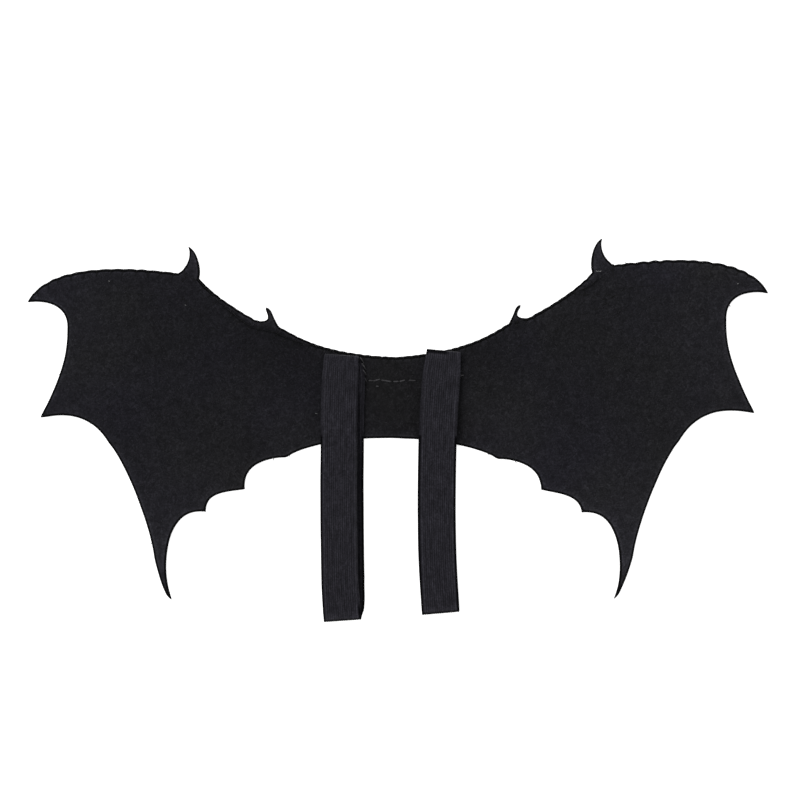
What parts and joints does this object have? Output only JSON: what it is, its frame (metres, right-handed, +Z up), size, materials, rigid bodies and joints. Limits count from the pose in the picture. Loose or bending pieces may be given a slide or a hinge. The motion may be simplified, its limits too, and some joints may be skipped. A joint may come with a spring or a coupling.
{
  "type": "costume bat wings",
  "caption": "Flat black felt bat wings with scalloped trailing edges, claws along the top edge and an elastic loop for each arm, worn on the back.",
  "frame": {"origin": "bottom centre of the part's box as it lies flat on a table with the wearer's side upward", "axes": "+X along the span to the right wing, +Y across the wings towards the claws, +Z up from the table"},
  "size_m": [0.493, 0.2554, 0.0096],
  "materials": {
    "felt": "matte felt",
    "elastic": "ribbed woven elastic"
  },
  "bodies": {
    "root": {"wing_panel": "felt", "claw_strip": "felt", "strap_left": "elastic", "strap_right": "elastic"}
  },
  "joints": []
}
